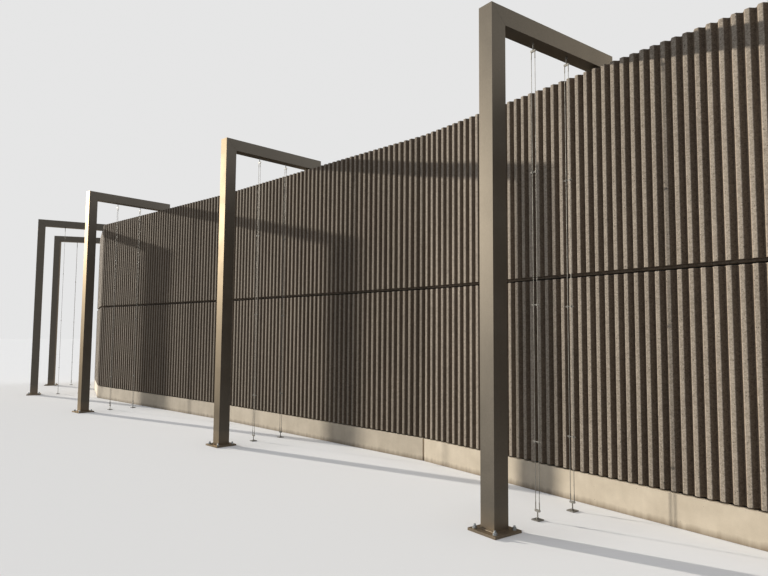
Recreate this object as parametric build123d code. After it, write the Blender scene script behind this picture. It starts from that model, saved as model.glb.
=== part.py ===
from build123d import *

import os
from dataclasses import dataclass
from math import cos, radians, sin, tan

# Ribbed noise barrier in five bays, with a steel climbing frame in front of each bay.
# Millimetres and degrees. The front, with the ribs and the frames, looks towards -Y, and bays,
# columns and frames are numbered from the left as seen from there. Each bay is laid out from
# its own corner on the rib fronts: x runs along the bay to the right, y runs back through the
# wall, and z is up from the ground. The part's origin is the foot of the column between the bays
# on its left and on its right, and the first bay on its right runs along +X.

# The bays on each side of the origin, from left to right: how many ribs each has, and which way
# it heads, anticlockwise from +X
rib_pitch = 98.0
left_rib_counts = (28, 25, 51)
left_headings = (-28.7, -18.0, 3.2)
right_rib_counts = (51, 51)
right_headings = (0.0, -8.2)

# Heights above the ground
plinth_height = 270.0
lower_panel_height = 1858.0
upper_panel_height = 1967.0

# The ribbed absorber that covers each panel's front
rib_depth = 40.0
rib_front_width = 36.0
valley_width = 8.0
absorber_base = 60.0
foot_joint = 15.0
row_joint = 40.0
bay_joint = 12.0

# The load-bearing concrete slab behind the absorber, and the plinth under both
slab_thickness = 140.0
plinth_joint = 20.0
plinth_setback = 2.0
plinth_chamfer = 10.0

# Rolled H columns, and how the slab ends stand in their flutes
column_width = 160.0
column_depth = 152.0
flange_thickness = 9.0
web_thickness = 6.0
root_radius = 15.0
flange_cover = 4.0
shoulder_clearance = 10.0
web_clearance = 20.0
wedge_gap = 12.0

# The climbing frames: a post in front of the wall and an arm that bears on the wall's top. Each
# stands a little to the left of its bay's middle, by frame_offset, and the frames of the first
# bays, where the wall bends most, stand farther out.
frame_width = 150.0
post_depth = 160.0
arm_height = 160.0
tube_wall = 8.0
frame_standoff = 1370.0
far_frame_standoff = 1440.0
far_frame_count = 2
frame_offset = 85.0
arm_reach = 330.0
foot_plate_size = 300.0
foot_plate_thickness = 20.0
foot_bolt_spacing = 220.0
foot_bolt_hole = 22.0
bearing_height = 50.0
bearing_tube = 80.0
bearing_plate_length = 180.0
bearing_plate_width = 120.0
bearing_plate_thickness = 12.0

# The climbing ropes: two sets under each arm, each a pair of ropes with cross bars
rope_diameter = 6.0
rope_spacing = 40.0
first_rope_set = 600.0
rope_set_pitch = 470.0
cross_bar_count = 3
cross_bar_pitch = 1165.0
cross_bar_size = 8.0
cross_bar_overhang = 25.0
clamp_size = 14.0
clamp_height = 20.0
stem_diameter = 12.0
stem_length = 60.0
yoke_overhang = 8.0
yoke_height = 20.0
yoke_depth = 12.0
ground_plate_size = 80.0
ground_plate_thickness = 8.0
bar_sides = 6

# Levels and depths that follow from the sizes above
lower_panel_top = plinth_height + lower_panel_height
wall_top = lower_panel_top + upper_panel_height
absorber_depth = rib_depth + absorber_base
wall_depth = absorber_depth + slab_thickness
flute_width = column_depth - 2 * flange_thickness
tongue_thickness = flute_width - wedge_gap
arm_underside = wall_top + bearing_height
frame_top = arm_underside + arm_height
rib_counts = left_rib_counts + right_rib_counts
bay_headings = left_headings + right_headings
near_frame_count = len(rib_counts) - far_frame_count
standoffs = (far_frame_standoff,) * far_frame_count + (frame_standoff,) * near_frame_count


@dataclass
class Bay:
    """One straight bay: its corner on the rib fronts, its heading and how it meets its neighbours."""

    x: float
    y: float
    ribs: int
    heading: float
    standoff: float
    turn_left: float
    turn_right: float

    @property
    def length(self):
        return self.ribs * rib_pitch

    @property
    def place(self):
        return Location((self.x, self.y, 0), (0, 0, self.heading))


@dataclass
class Corner:
    """Where two bays meet: the corner on the rib fronts and the column's own heading."""

    x: float
    y: float
    heading: float
    half_bend: float


def turned(x, y, angle):
    """The point (x, y) turned anticlockwise about the origin."""
    c, s = cos(radians(angle)), sin(radians(angle))
    return x * c - y * s, x * s + y * c


def column_front(half_bend):
    """How far behind its corner a column's front flange lies, so that both absorbers clear it.

    Where the wall bends away to the back, half_bend is positive and the absorbers' backs close
    in on the flange's edges, so the column stands further back.
    """
    straight = (absorber_depth + flange_cover) / cos(radians(half_bend))
    return straight + max(0.0, column_width / 2 * tan(radians(half_bend)))


def corners_and_bays():
    """The wall's plan, with the foot of the origin column at the part's origin."""
    xs, ys = [0.0], [0.0]
    for ribs, heading in zip(rib_counts, bay_headings):
        dx, dy = turned(ribs * rib_pitch, 0, heading)
        xs.append(xs[-1] + dx)
        ys.append(ys[-1] + dy)
    ends = list(zip(bay_headings[:1] + bay_headings, bay_headings + bay_headings[-1:]))
    means = [(a + b) / 2 for a, b in ends]
    halves = [(b - a) / 2 for a, b in ends]
    k = len(left_rib_counts)
    foot_x, foot_y = turned(0, column_front(halves[k]) + column_depth / 2, means[k])
    shift_x, shift_y = -xs[k] - foot_x, -ys[k] - foot_y
    corners = [Corner(x + shift_x, y + shift_y, m, h) for x, y, m, h in zip(xs, ys, means, halves)]
    bays = [
        Bay(c.x, c.y, ribs, heading, standoff, c.half_bend, d.half_bend)
        for c, d, ribs, heading, standoff in zip(
            corners, corners[1:], rib_counts, bay_headings, standoffs
        )
    ]
    return corners, bays


def prism(points, bottom, top):
    """An upright prism on a closed outline in plan."""
    face = make_face(Polyline(*points, close=True))
    return Pos(0, 0, bottom) * extrude(face, amount=top - bottom, dir=(0, 0, 1))


def end_x(bay, right, depth, joint):
    """Where a bay's mitred end lies along the bay, at a depth behind the rib fronts."""
    bend = bay.turn_right if right else -bay.turn_left
    setback = joint / 2 / cos(radians(bend))
    if right:
        return bay.length - setback - depth * tan(radians(bend))
    return setback - depth * tan(radians(bend))


def column_point(bay, right, across, behind):
    """A point of the column's own frame, in the bay's coordinates.

    across runs along the flanges and behind runs back from the corner, square to the flanges.
    """
    bend = bay.turn_right if right else -bay.turn_left
    x, y = turned(across, behind, bend)
    return (x + bay.length, y) if right else (x, y)


def at_depth(bay, right, across, depth):
    """The point of the column's line at across that lies at a depth of the bay."""
    bend = bay.turn_right if right else -bay.turn_left
    behind = (depth - across * sin(radians(bend))) / cos(radians(bend))
    return column_point(bay, right, across, behind)


def tongue(bay, right):
    """The outline of one slab end, from the slab's front to its back.

    The end is stepped to slide into the column's flute, with its front on the front flange.
    """
    side = -1 if right else 1
    half_bend = bay.turn_right if right else bay.turn_left
    shoulder = side * (column_width / 2 + shoulder_clearance)
    tip = side * (web_thickness / 2 + web_clearance)
    front = column_front(half_bend) + flange_thickness
    back = front + tongue_thickness
    return [
        at_depth(bay, right, shoulder, absorber_depth),
        column_point(bay, right, shoulder, front),
        column_point(bay, right, tip, front),
        column_point(bay, right, tip, back),
        column_point(bay, right, shoulder, back),
        at_depth(bay, right, shoulder, wall_depth),
    ]


def slab(bay, bottom, top):
    """A plain concrete slab that stands between two columns."""
    outline = tongue(bay, False)[::-1] + tongue(bay, True)
    return bay.place * prism(outline, bottom, top)


def plinth(bay):
    """The smooth concrete plinth: the slab's plan, with a nose that reaches to the rib fronts."""
    front = plinth_setback
    back = absorber_depth
    nose = [
        (end_x(bay, False, front, plinth_joint), front),
        (end_x(bay, True, front, plinth_joint), front),
        (end_x(bay, True, back, plinth_joint), back),
        (end_x(bay, False, back, plinth_joint), back),
    ]
    block = prism(nose, 0, plinth_height)
    upright = block.edges().filter_by(Axis.Z).sort_by(Axis.Y)[:2]
    block = chamfer(upright, plinth_chamfer / 2)
    outline = tongue(bay, False)[::-1] + tongue(bay, True)
    return bay.place * (block + prism(outline, 0, plinth_height))


def absorber(bay, bottom, top):
    """The ribbed layer: trapezoidal ribs on a flat base, mitred to its neighbours."""
    flank = (rib_pitch - rib_front_width - valley_width) / 2
    beyond = rib_pitch
    profile = [(-beyond, absorber_depth), (-beyond, rib_depth)]
    for rib in range(bay.ribs):
        middle = rib * rib_pitch + rib_pitch / 2
        half = rib_front_width / 2
        profile += [
            (middle - half - flank, rib_depth),
            (middle - half, 0),
            (middle + half, 0),
            (middle + half + flank, rib_depth),
        ]
    profile += [(bay.length + beyond, rib_depth), (bay.length + beyond, absorber_depth)]
    ribbed = make_face(Polyline(*profile, close=True))
    outline = [
        (end_x(bay, False, 0, bay_joint), 0),
        (end_x(bay, True, 0, bay_joint), 0),
        (end_x(bay, True, absorber_depth, bay_joint), absorber_depth),
        (end_x(bay, False, absorber_depth, bay_joint), absorber_depth),
    ]
    section = ribbed & make_face(Polyline(*outline, close=True))
    return bay.place * Pos(0, 0, bottom) * extrude(section, amount=top - bottom, dir=(0, 0, 1))


def column(corner):
    """A rolled H column, square to the bisector of its two bays, from the ground to the wall's top."""
    half_width, half_depth = column_width / 2, column_depth / 2
    half_web, inside = web_thickness / 2, column_depth / 2 - flange_thickness
    quarter = [(half_width, half_depth), (half_width, inside), (half_web, inside)]
    mirrored = [(x, -y) for x, y in quarter[::-1]]
    right_side = quarter + mirrored
    left_side = [(-x, y) for x, y in right_side[::-1]]
    section = make_face(Polyline(*(right_side + left_side), close=True))
    roots = section.vertices().filter_by_position(Axis.X, -half_web, half_web)
    section = fillet(roots, root_radius)
    middle = column_front(corner.half_bend) + half_depth
    place = Location((corner.x, corner.y, 0), (0, 0, corner.heading)) * Pos(0, middle, 0)
    return place * extrude(section, amount=wall_top, dir=(0, 0, 1))


def frame_place(bay):
    """The frame's own coordinates: y runs back from the post's outer face, x lies along the bay."""
    return bay.place * Pos(bay.length / 2 - frame_offset, -bay.standoff, 0)


def side_profile(points, width):
    """A plate cut to an outline seen from the side, and centred on the frame's middle plane."""
    outline = Polyline(*[(0, y, z) for y, z in points], close=True)
    return Pos(-width / 2, 0, 0) * extrude(make_face(outline), amount=width, dir=(1, 0, 0))


def mitre_y(z):
    """The depth of the mitre between post and arm at a height."""
    return (frame_top - z) * post_depth / arm_height


def mitre_z(y):
    """The height of the mitre between post and arm at a depth."""
    return frame_top - y * arm_height / post_depth


def frame_post(bay):
    """The hollow post with its foot plate, mitred at the top for the arm."""
    outer = [
        (0, foot_plate_thickness),
        (post_depth, foot_plate_thickness),
        (post_depth, arm_underside),
        (0, frame_top),
    ]
    inner = [
        (tube_wall, foot_plate_thickness),
        (post_depth - tube_wall, foot_plate_thickness),
        (post_depth - tube_wall, mitre_z(post_depth - tube_wall)),
        (tube_wall, mitre_z(tube_wall)),
    ]
    tube = side_profile(outer, frame_width) - side_profile(inner, frame_width - 2 * tube_wall)
    middle = post_depth / 2
    plate = Pos(0, middle, foot_plate_thickness / 2) * Box(
        foot_plate_size, foot_plate_size, foot_plate_thickness
    )
    for hole in GridLocations(foot_bolt_spacing, foot_bolt_spacing, 2, 2):
        plate -= Pos(0, middle, foot_plate_thickness / 2) * hole * Cylinder(
            foot_bolt_hole / 2, foot_plate_thickness
        )
    return frame_place(bay) * (tube + plate)


def frame_arm(bay):
    """The hollow arm with its closed end, and the bearing that stands on the wall's slab."""
    end = bay.standoff + arm_reach
    outer = [(0, frame_top), (post_depth, arm_underside), (end, arm_underside), (end, frame_top)]
    low, high = arm_underside + tube_wall, frame_top - tube_wall
    inner = [(mitre_y(high), high), (mitre_y(low), low), (end - tube_wall, low), (end - tube_wall, high)]
    tube = side_profile(outer, frame_width) - side_profile(inner, frame_width - 2 * tube_wall)
    middle = bay.standoff + absorber_depth + slab_thickness / 2
    stub_height = bearing_height - bearing_plate_thickness
    stub = Pos(0, middle, arm_underside - stub_height / 2) * (
        Box(bearing_tube, bearing_tube, stub_height)
        - Box(bearing_tube - 2 * tube_wall, bearing_tube - 2 * tube_wall, stub_height)
    )
    plate = Pos(0, middle, wall_top + bearing_plate_thickness / 2) * Box(
        bearing_plate_length, bearing_plate_width, bearing_plate_thickness
    )
    return frame_place(bay) * (tube + stub + plate)


def cross_bar_levels():
    """Heights of the cross bars, spaced down from the arm's underside."""
    return [arm_underside - cross_bar_pitch * (k + 1) for k in range(cross_bar_count)]


def bar(diameter, bottom, top):
    """An upright bar with a few flat sides, for the thin round pieces that repeat many times."""
    section = RegularPolygon(diameter / 2, bar_sides)
    return Pos(0, 0, bottom) * extrude(section, amount=top - bottom)


def rope_set(y):
    """One pair of ropes with its stems, yokes, cross bars and ground plate, at a depth of the frame."""
    yoke_length = rope_spacing + 2 * yoke_overhang
    cross_bar_length = rope_spacing + 2 * cross_bar_overhang
    foot_yoke = ground_plate_thickness + stem_length
    top_yoke = arm_underside - stem_length - yoke_height
    yoke = Box(yoke_length, yoke_depth, yoke_height, align=(Align.CENTER, Align.CENTER, Align.MIN))
    whole = bar(stem_diameter, top_yoke + yoke_height, arm_underside)
    whole += bar(stem_diameter, ground_plate_thickness, foot_yoke)
    whole += Pos(0, 0, foot_yoke) * yoke + Pos(0, 0, top_yoke) * yoke
    whole += Pos(0, 0, ground_plate_thickness / 2) * Box(
        ground_plate_size, ground_plate_size, ground_plate_thickness
    )
    for side in (-rope_spacing / 2, rope_spacing / 2):
        whole += Pos(side, 0, 0) * bar(rope_diameter, foot_yoke + yoke_height, top_yoke)
        for level in cross_bar_levels():
            whole += Pos(side, 0, level) * Box(clamp_size, clamp_size, clamp_height)
    for level in cross_bar_levels():
        whole += Pos(0, 0, level) * Box(cross_bar_length, cross_bar_size, cross_bar_size)
    return Pos(0, y, 0) * whole


def climbing_ropes(bay):
    """The two rope sets under one arm."""
    sets = [rope_set(first_rope_set + k * rope_set_pitch) for k in range(2)]
    return frame_place(bay) * Compound(children=sets)


def save(shape, name):
    """Write one node's file."""
    export_step(shape, "parts/" + name + ".step")


os.makedirs("parts", exist_ok=True)
corners, bays = corners_and_bays()
half_joint = row_joint / 2
for number, corner in enumerate(corners, start=1):
    save(column(corner), f"column_{number}")
for number, bay in enumerate(bays, start=1):
    save(plinth(bay), f"plinth_{number}")
    save(slab(bay, plinth_height, lower_panel_top), f"slab_lower_{number}")
    save(slab(bay, lower_panel_top, wall_top), f"slab_upper_{number}")
    save(absorber(bay, plinth_height + foot_joint, lower_panel_top - half_joint), f"absorber_lower_{number}")
    save(absorber(bay, lower_panel_top + half_joint, wall_top), f"absorber_upper_{number}")
    save(frame_post(bay), f"frame_post_{number}")
    save(frame_arm(bay), f"frame_arm_{number}")
    save(climbing_ropes(bay), f"climbing_ropes_{number}")
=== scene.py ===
"""Looks for a ribbed noise barrier with climbing frames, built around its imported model.

Metres and degrees, in the model's own frame: the front, with the ribs and the frames, looks
towards -Y, z is up from the ground, and bays are numbered from the left as seen from the front.
A bay's own coordinates start at its left corner on the rib fronts, with x along the bay and y
back through the wall. A frame's own coordinates start below the middle of its post's outer face.
"""

import logging
from collections.abc import Callable, Iterator
from contextlib import contextmanager
from dataclasses import dataclass
from enum import Enum
from math import ceil, cos, hypot, pi, radians, sin, tan

import bmesh
import bpy
from mathutils import Matrix, Vector


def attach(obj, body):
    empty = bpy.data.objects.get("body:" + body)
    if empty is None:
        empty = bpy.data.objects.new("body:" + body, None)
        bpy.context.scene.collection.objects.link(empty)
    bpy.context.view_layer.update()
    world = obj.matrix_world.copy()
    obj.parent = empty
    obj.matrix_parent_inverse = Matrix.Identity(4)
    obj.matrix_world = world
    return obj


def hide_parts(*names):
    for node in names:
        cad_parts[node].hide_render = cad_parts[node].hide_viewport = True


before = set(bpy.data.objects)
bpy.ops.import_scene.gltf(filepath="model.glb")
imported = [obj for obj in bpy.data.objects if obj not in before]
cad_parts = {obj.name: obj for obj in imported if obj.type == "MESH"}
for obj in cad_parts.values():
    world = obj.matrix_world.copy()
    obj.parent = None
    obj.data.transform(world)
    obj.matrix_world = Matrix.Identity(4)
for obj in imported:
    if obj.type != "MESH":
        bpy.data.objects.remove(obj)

log = logging.getLogger("noise_barrier")

Piece = bpy.types.Object
Test = Callable[[Vector], bool]
Tree = bpy.types.NodeTree
Socket = bpy.types.NodeSocket
Colour = tuple[float, float, float, float]
Value = float | Colour | str | Socket

# How near a point has to come to a level or a plane to count as on it
TOUCH = 0.0001


class Pick(Enum):
    """What a selection is made of in edit mode."""

    VERT = "verts"
    EDGE = "edges"
    FACE = "faces"


class End(Enum):
    """One end of a bay, and which way it lies along the bay."""

    LEFT = -1
    RIGHT = 1


class Row(Enum):
    """The two rows of panels."""

    LOWER = "lower"
    UPPER = "upper"


class Slot(Enum):
    """The record's material slots."""

    PLINTH = "plinth_concrete"
    SLAB = "slab_concrete"
    ABSORBER = "ribbed_absorber"
    COATED = "coated_steel"
    GALVANISED = "galvanised_steel"
    STAINLESS = "stainless_rope"


# Modelling, one object at a time


def only(piece: Piece) -> None:
    """Leaves one object selected and active.

    Args:
        piece: The object.
    """
    bpy.ops.object.select_all(action="DESELECT")
    piece.select_set(True)
    bpy.context.view_layer.objects.active = piece


@contextmanager
def editing(piece: Piece) -> Iterator[None]:
    """Edit mode on one object, with nothing selected at first.

    Args:
        piece: The object to edit.
    """
    only(piece)
    bpy.ops.object.mode_set(mode="EDIT")
    bpy.ops.mesh.select_all(action="DESELECT")
    yield
    bpy.ops.object.mode_set(mode="OBJECT")


def pick(piece: Piece, kind: Pick, test: Test, both: bool = False) -> None:
    """Selects what passes a test in edit mode, and nothing else.

    Args:
        piece: The object in edit mode.
        kind: Whether vertices, edges or faces are selected.
        test: Takes a point of the mesh and says whether it passes.
        both: Whether every vertex has to pass, and not just the middle.
    """
    bpy.ops.mesh.select_mode(type=kind.name)
    bpy.ops.mesh.select_all(action="DESELECT")
    mesh = bmesh.from_edit_mesh(piece.data)
    for part in getattr(mesh, kind.value):
        points = [part.co] if kind is Pick.VERT else [v.co for v in part.verts]
        middle = sum(points, Vector()) / len(points)
        if all(test(p) for p in points) if both else test(middle):
            part.select_set(True)
    mesh.select_flush_mode()
    bmesh.update_edit_mesh(piece.data)


def round_picked(width: float, segments: int) -> None:
    """Rounds the edges that are picked in edit mode."""
    bpy.ops.mesh.bevel(offset=width, segments=segments, profile=0.5, affect="EDGES")


def narrow_picked(share: float) -> None:
    """Draws what is picked in edit mode in towards the z axis."""
    bpy.ops.transform.resize(value=(share, share, 1), center_override=(0, 0, 0))


def face_outwards() -> None:
    """Turns all faces of the mesh in edit mode to the outside."""
    bpy.ops.mesh.select_all(action="SELECT")
    bpy.ops.mesh.normals_make_consistent(inside=False)


def add_rings(piece: Piece, middle: float, count: int) -> None:
    """Divides the edges in edit mode whose middles lie at a height."""
    pick(piece, Pick.EDGE, lambda p: abs(p.z - middle) < TOUCH)
    bpy.ops.mesh.subdivide(number_cuts=count)


def note(piece: Piece, name: str, values: list[float]) -> None:
    """Records a value on each of an object's vertices, for its finish."""
    layer = piece.data.attributes.new(name, "FLOAT", "POINT")
    layer.data.foreach_set("value", values)


def fix_place(piece: Piece) -> None:
    """Moves an object's place, turn and scale into its mesh."""
    only(piece)
    bpy.ops.object.transform_apply(location=True, rotation=True, scale=True)


def rename(name: str) -> Piece:
    """Names the active object and its mesh, and fixes its place in its mesh.

    Args:
        name: The object's new name.

    Returns:
        The active object.
    """
    piece = bpy.context.active_object
    piece.name = piece.data.name = name
    fix_place(piece)
    return piece


def box(name: str, low: tuple[float, float, float], high: tuple[float, float, float]) -> Piece:
    """Starts a piece as a box between two corners.

    Args:
        name: The object's name.
        low: The box's lowest corner.
        high: The box's highest corner.

    Returns:
        The new object.
    """
    bpy.ops.object.select_all(action="DESELECT")
    centre = [(a + b) / 2 for a, b in zip(low, high)]
    spans = [b - a for a, b in zip(low, high)]
    bpy.ops.mesh.primitive_cube_add(size=1, location=centre, scale=spans)
    return rename(name)


def rod(name: str, radius: float, bottom: float, top: float, sides: int) -> Piece:
    """Starts a piece as an upright rod on the z axis.

    Args:
        name: The object's name.
        radius: The rod's radius, to its corners.
        bottom: The height of its lower end.
        top: The height of its upper end.
        sides: How many sides it has.

    Returns:
        The new object.
    """
    bpy.ops.object.select_all(action="DESELECT")
    bpy.ops.mesh.primitive_cylinder_add(
        vertices=sides, radius=radius, depth=top - bottom, location=(0, 0, (bottom + top) / 2)
    )
    return rename(name)


def ringed_rod(
    name: str, radius: float, bottom: float, top: float, sides: int, pitch: float, waist: float
) -> Piece:
    """Starts a piece as an upright rod of many rings, every second one of them narrower.

    Args:
        name: The object's name.
        radius: The wide rings' radius.
        bottom: The height of its lower end.
        top: The height of its upper end.
        sides: How many sides it has.
        pitch: The distance from one wide ring to the next.
        waist: The narrow rings' radius, as a share of the wide ones'.

    Returns:
        The new object.
    """
    piece = rod(name, radius, bottom, top, sides)
    rings = 2 * round((top - bottom) / pitch)
    step = (top - bottom) / rings
    with editing(piece):
        add_rings(piece, (bottom + top) / 2, rings - 1)
        pick(piece, Pick.VERT, lambda p: round((p.z - bottom) / step) % 2 == 0)
        narrow_picked(waist)
    return piece


def shape_by(piece: Piece, kind: str, **settings: object) -> None:
    """Adds one modifier to an object, sets it and applies it.

    Args:
        piece: The object to shape.
        kind: The modifier's type.
        **settings: The modifier's properties.
    """
    only(piece)
    modifier = piece.modifiers.new(kind.lower(), kind)
    for key, value in settings.items():
        setattr(modifier, key, value)
    bpy.ops.object.modifier_apply(modifier=modifier.name)


def round_edges(piece: Piece, width: float, segments: int = 2, angle: float = 40) -> None:
    """Rounds an object's sharp edges and keeps its flat faces flat in the light.

    Args:
        piece: The object to round.
        width: How far the rounding reaches on each face.
        segments: How many faces the rounding has.
        angle: The smallest bend that counts as a sharp edge, in degrees.
    """
    shape_by(
        piece, "BEVEL", width=width, segments=segments, limit_method="ANGLE",
        angle_limit=radians(angle),
    )
    smooth(piece, angle=50)
    keep_flats(piece)


def smooth(piece: Piece, angle: float) -> None:
    """Shades an object smooth across edges that bend less than an angle in degrees."""
    only(piece)
    bpy.ops.object.shade_smooth_by_angle(angle=radians(angle))


def keep_flats(piece: Piece) -> None:
    """Bends the shading of a smooth object in its roundings, and not on its broad faces."""
    shape_by(piece, "WEIGHTED_NORMAL", keep_sharp=True)


def place(piece: Piece, matrix: Matrix) -> None:
    """Moves an object by a matrix and fixes its place in its mesh."""
    piece.matrix_world = matrix @ piece.matrix_world
    fix_place(piece)


def shift(x: float, y: float, z: float) -> Matrix:
    """A move without a turn."""
    return Matrix.Translation((x, y, z))


def linked(name: str, data: bpy.types.ID) -> Piece:
    """Makes an object of some data and puts it into the scene.

    Args:
        name: The object's name.
        data: Its mesh, lamp or camera.

    Returns:
        The new object.
    """
    item = bpy.data.objects.new(name, data)
    bpy.context.scene.collection.objects.link(item)
    return item


def copy_at(pattern: Piece, name: str, matrix: Matrix) -> Piece:
    """Copies a finished object, with a mesh of its own, to another place.

    Args:
        pattern: The object to copy.
        name: The copy's name.
        matrix: Where the copy goes, from where the pattern is.

    Returns:
        The copy.
    """
    copy = linked(name, pattern.data.copy())
    copy.data.name = name
    copy.data.transform(matrix)
    return copy


def joined(pieces: list[Piece], name: str) -> Piece:
    """Joins objects into the first of them.

    Args:
        pieces: The objects to join.
        name: The name of the joined object.

    Returns:
        The joined object.
    """
    only(pieces[0])
    for piece in pieces[1:]:
        piece.select_set(True)
    if len(pieces) > 1:
        bpy.ops.object.join()
    return rename(name)


def discard(piece: Piece) -> None:
    """Removes a pattern that has been copied."""
    bpy.data.objects.remove(piece, do_unlink=True)


def repeated(pattern: Piece, name: str, places: list[Matrix]) -> Piece:
    """Copies a pattern to several places, joins the copies and removes the pattern.

    Args:
        pattern: The object to copy.
        name: The name of the joined object.
        places: Where the copies go, from where the pattern is.

    Returns:
        The joined object.
    """
    copies = [copy_at(pattern, name, matrix) for matrix in places]
    discard(pattern)
    return joined(copies, name)


def merged_copy(node: str, name: str) -> Piece:
    """Copies a node of the model with its loose triangles merged into clean faces.

    Args:
        node: The node's name.
        name: The copy's name.

    Returns:
        The copy.
    """
    copy = copy_at(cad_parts[node], name, Matrix.Identity(4))
    copy.data.materials.clear()
    with editing(copy):
        bpy.ops.mesh.select_all(action="SELECT")
        bpy.ops.mesh.remove_doubles(threshold=0.00002)
        bpy.ops.mesh.customdata_custom_splitnormals_clear()
        bpy.ops.mesh.select_all(action="SELECT")
        bpy.ops.mesh.dissolve_limited(angle_limit=radians(0.4))
    return copy


def dress(piece: Piece, finish: bpy.types.Material, slot: Slot, *nodes: str) -> Piece:
    """Gives a finished object its finish and its body, and hides the nodes that it stands for.

    Args:
        piece: The finished object.
        finish: Its material.
        slot: The record's slot for it; not used.
        *nodes: The nodes of the model that it stands for.

    Returns:
        The object.
    """
    piece.data.materials.clear()
    piece.data.materials.append(finish)
    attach(piece, "root")
    if nodes:
        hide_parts(*nodes)
    log.info("%s: %d faces", piece.name, len(piece.data.polygons))
    return piece


def stand_in(
    node: str, prefix: str, finish: bpy.types.Material, slot: Slot, rounding: float,
    segments: int = 2,
) -> None:
    """Puts a copy of a node, with rounded edges and a finish, in the node's place.

    Args:
        node: The node's name.
        prefix: What the copy's name starts with.
        finish: The copy's material.
        slot: The record's slot for it.
        rounding: How far the rounding reaches on each face.
        segments: How many faces the rounding has.
    """
    piece = merged_copy(node, f"{prefix}_{node}")
    round_edges(piece, rounding, segments)
    dress(piece, finish, slot, node)


# The wall's plan


@dataclass(frozen=True)
class WallSizes:
    """The model's own sizes, in metres and degrees.

    Attributes:
        left_bays: Ribs and heading of each bay on the origin's left, from left to right.
        right_bays: The same on the origin's right.
        foot_joint: The joint between the plinth and the lower ribs, above the plinth's top.
        row_joint: The joint between the two rows of ribs, half of it on each side of lower_top.
        row_gap: How much of that joint stays open, below the upper panel's plain edge.
        far_frames: How many frames, from the left, stand at the far standoff.
        frame_offset: How far to the left of its bay's middle each frame stands.
        bay_darkenings: How far the colour of each bay's ribs is darkened, from 0 to 1.
    """

    left_bays: tuple[tuple[int, float], ...] = ((28, -28.7), (25, -18.0), (51, 3.2))
    right_bays: tuple[tuple[int, float], ...] = ((51, 0.0), (51, -8.2))
    rib_pitch: float = 0.098
    rib_depth: float = 0.040
    rib_front: float = 0.036
    valley: float = 0.008
    absorber_depth: float = 0.100
    slab_thickness: float = 0.140
    plinth_top: float = 0.270
    lower_top: float = 2.128
    wall_top: float = 4.095
    foot_joint: float = 0.015
    row_joint: float = 0.040
    row_gap: float = 0.018
    bay_joint: float = 0.012
    column_width: float = 0.160
    column_depth: float = 0.152
    flange: float = 0.009
    web: float = 0.006
    flange_cover: float = 0.004
    wedge_gap: float = 0.012
    web_clearance: float = 0.020
    frame_standoff: float = 1.370
    far_standoff: float = 1.440
    far_frames: int = 2
    frame_offset: float = 0.085
    arm_underside: float = 4.145
    bay_darkenings: tuple[float, ...] = (0.6, 0.8, 1.0, 0.85, 0.55)


SIZES = WallSizes()


def turned(x: float, y: float, angle: float) -> tuple[float, float]:
    """The point (x, y) turned anticlockwise about the origin by degrees."""
    c, s = cos(radians(angle)), sin(radians(angle))
    return x * c - y * s, x * s + y * c


def column_front(half_bend: float) -> float:
    """How far behind its corner a column's front flange lies, by half the bend in degrees."""
    straight = (SIZES.absorber_depth + SIZES.flange_cover) / cos(radians(half_bend))
    return straight + max(0.0, SIZES.column_width / 2 * tan(radians(half_bend)))


@dataclass(frozen=True)
class Corner:
    """Where two bays meet, on the rib fronts.

    Attributes:
        heading: The heading of the column's own flanges.
        half_bend: Half the bend between the two bays.
    """

    number: int
    x: float
    y: float
    heading: float
    half_bend: float

    @property
    def place(self) -> Matrix:
        """From the corner's own coordinates, with y square to the flanges, to the model's."""
        return shift(self.x, self.y, 0) @ Matrix.Rotation(radians(self.heading), 4, "Z")


@dataclass(frozen=True)
class Bay:
    """One straight bay, between two corners.

    Attributes:
        standoff: How far the post's outer face stands in front of the ribs.
    """

    number: int
    left: Corner
    right: Corner
    ribs: int
    heading: float
    standoff: float

    @property
    def length(self) -> float:
        """The bay's length on the rib fronts."""
        return self.ribs * SIZES.rib_pitch

    @property
    def place(self) -> Matrix:
        """From the bay's own coordinates to the model's."""
        turn = Matrix.Rotation(radians(self.heading), 4, "Z")
        return shift(self.left.x, self.left.y, 0) @ turn

    @property
    def frame_place(self) -> Matrix:
        """From the coordinates of the bay's climbing frame to the model's."""
        return self.place @ shift(self.length / 2 - SIZES.frame_offset, -self.standoff, 0)

    def mitre(self, end: End, joint: float) -> tuple[Vector, Vector]:
        """The plane that a joint of some width leaves at one end of the bay.

        Args:
            end: Which end of the bay.
            joint: The joint's whole width between the two bays.

        Returns:
            A point of the plane and its normal, out of the bay, in the bay's coordinates.
        """
        bend = self.right.half_bend if end is End.RIGHT else -self.left.half_bend
        across = Vector((cos(radians(bend)), sin(radians(bend)), 0))
        corner = Vector((self.length if end is End.RIGHT else 0.0, 0, 0))
        return corner - across * (end.value * joint / 2), across * end.value


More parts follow.
